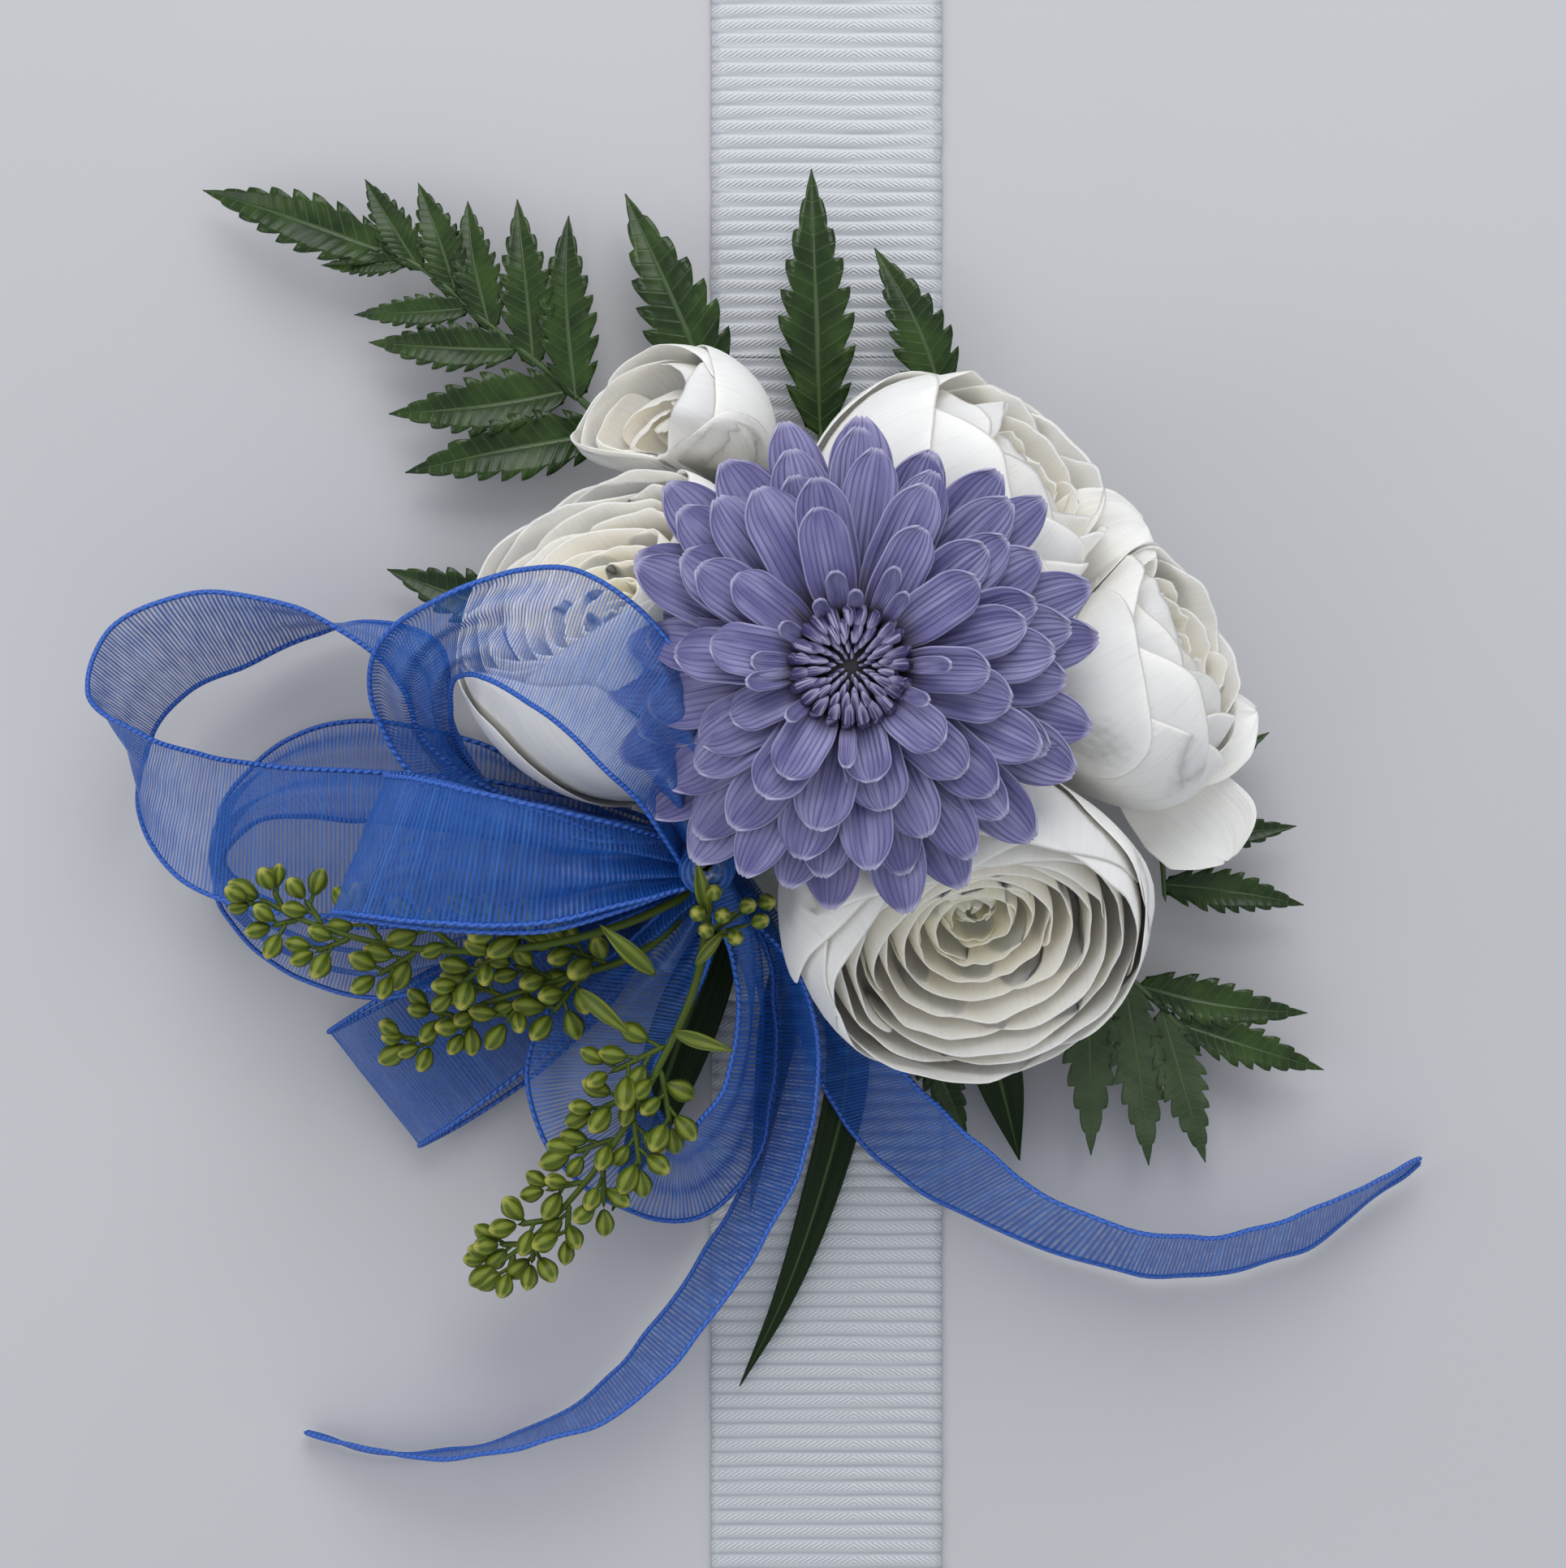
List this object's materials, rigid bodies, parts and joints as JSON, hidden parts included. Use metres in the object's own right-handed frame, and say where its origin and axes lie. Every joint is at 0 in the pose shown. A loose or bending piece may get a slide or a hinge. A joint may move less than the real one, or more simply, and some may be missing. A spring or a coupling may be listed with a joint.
{
  "type": "wrist corsage",
  "caption": "Wrist corsage: white ranunculus round a lavender chrysanthemum with fern, goldenrod and a blue organza bow on a white ribbon band that folds round the wrist.",
  "frame": {"origin": "middle of the ribbon band's underside, where it lies on the wrist", "axes": "+X across the band to the right of the picture, +Y along the band to its upper end, +Z out of the wrist through the flowers"},
  "size_m": [0.1435, 0.216, 0.0511],
  "materials": {
    "white_ribbon": "satin grosgrain weave",
    "white_felt": "matt pressed felt",
    "green_tape": "waxed crepe tape",
    "silver_wire": "dull drawn wire",
    "white_petal": "soft satin petal with fine veins",
    "cream_petal": "soft satin petal, greener towards the heart",
    "lavender_petal": "matt petal with lengthwise veins",
    "mum_disc": "matt quills with pale tips",
    "stem_green": "smooth stem",
    "smooth_leaf": "satin leaf",
    "fern_leaf": "glossy leathery leaf",
    "goldenrod_bud": "matt ribbed bud",
    "blue_organza": "sheer organza with a wired edge"
  },
  "bodies": {
    "root": {"band_middle": "white_ribbon", "felt_pad": "white_felt", "stem_binding": "green_tape", "bow_wire": "silver_wire", "ranunculus_a_guard": "white_petal", "ranunculus_a_whorl": "white_petal", "ranunculus_a_heart": "cream_petal", "ranunculus_a_stem": "stem_green", "ranunculus_b_guard": "white_petal", "ranunculus_b_whorl": "white_petal", "ranunculus_b_heart": "cream_petal", "ranunculus_b_stem": "stem_green", "ranunculus_c_guard": "white_petal", "ranunculus_c_whorl": "white_petal", "ranunculus_c_heart": "cream_petal", "ranunculus_c_stem": "stem_green", "ranunculus_d_guard": "white_petal", "ranunculus_d_whorl": "white_petal", "ranunculus_d_heart": "cream_petal", "ranunculus_d_stem": "stem_green", "ranunculus_d_open_petal": "white_petal", "ranunculus_e_guard": "white_petal", "ranunculus_e_whorl": "white_petal", "ranunculus_e_heart": "cream_petal", "ranunculus_e_stem": "stem_green", "mum_stem": "stem_green", "mum_rays_1": "lavender_petal", "mum_rays_2": "lavender_petal", "mum_rays_3": "lavender_petal", "mum_rays_4": "lavender_petal", "mum_rays_5": "lavender_petal", "mum_disc": "mum_disc", "bow_loop_far": "blue_organza", "bow_loop_ring": "blue_organza", "bow_loop_front": "blue_organza", "bow_loop_fold": "blue_organza", "bow_loop_low": "blue_organza", "bow_loop_bottom": "blue_organza", "bow_tail_left": "blue_organza", "bow_tail_right": "blue_organza", "blade_long": "smooth_leaf", "blade_short": "smooth_leaf", "leaf_lower_left": "smooth_leaf", "leaf_pointed": "smooth_leaf", "fern_frond_left": "fern_leaf", "fern_sprig_upper": "fern_leaf", "fern_leaf_top": "fern_leaf", "fern_leaf_top_right": "fern_leaf", "fern_leaf_left": "fern_leaf", "fern_frond_right": "fern_leaf", "fern_frond_lower_right": "fern_leaf", "fern_leaf_bottom": "fern_leaf", "goldenrod_left": "goldenrod_bud", "goldenrod_middle": "goldenrod_bud", "goldenrod_lower": "goldenrod_bud"},
    "upper_inner": {"band_upper_inner": "white_ribbon"},
    "upper_end": {"band_upper_end": "white_ribbon"},
    "lower_inner": {"band_lower_inner": "white_ribbon"},
    "lower_end": {"band_lower_end": "white_ribbon"}
  },
  "joints": [
    {"name": "band_upper_bend", "type": "hinge", "parent": "root", "child": "upper_inner", "pos_m": [0, 0.02715, 0], "axis": [-1, 0, 0], "range_deg": [0, 90]},
    {"name": "band_upper_end_bend", "type": "hinge", "parent": "upper_inner", "child": "upper_end", "pos_m": [0, 0.067, 0], "axis": [-1, 0, 0], "range_deg": [0, 90]},
    {"name": "band_lower_bend", "type": "hinge", "parent": "root", "child": "lower_inner", "pos_m": [0, -0.02715, 0], "axis": [1, 0, 0], "range_deg": [0, 90]},
    {"name": "band_lower_end_bend", "type": "hinge", "parent": "lower_inner", "child": "lower_end", "pos_m": [0, -0.062, 0], "axis": [1, 0, 0], "range_deg": [0, 90]}
  ]
}
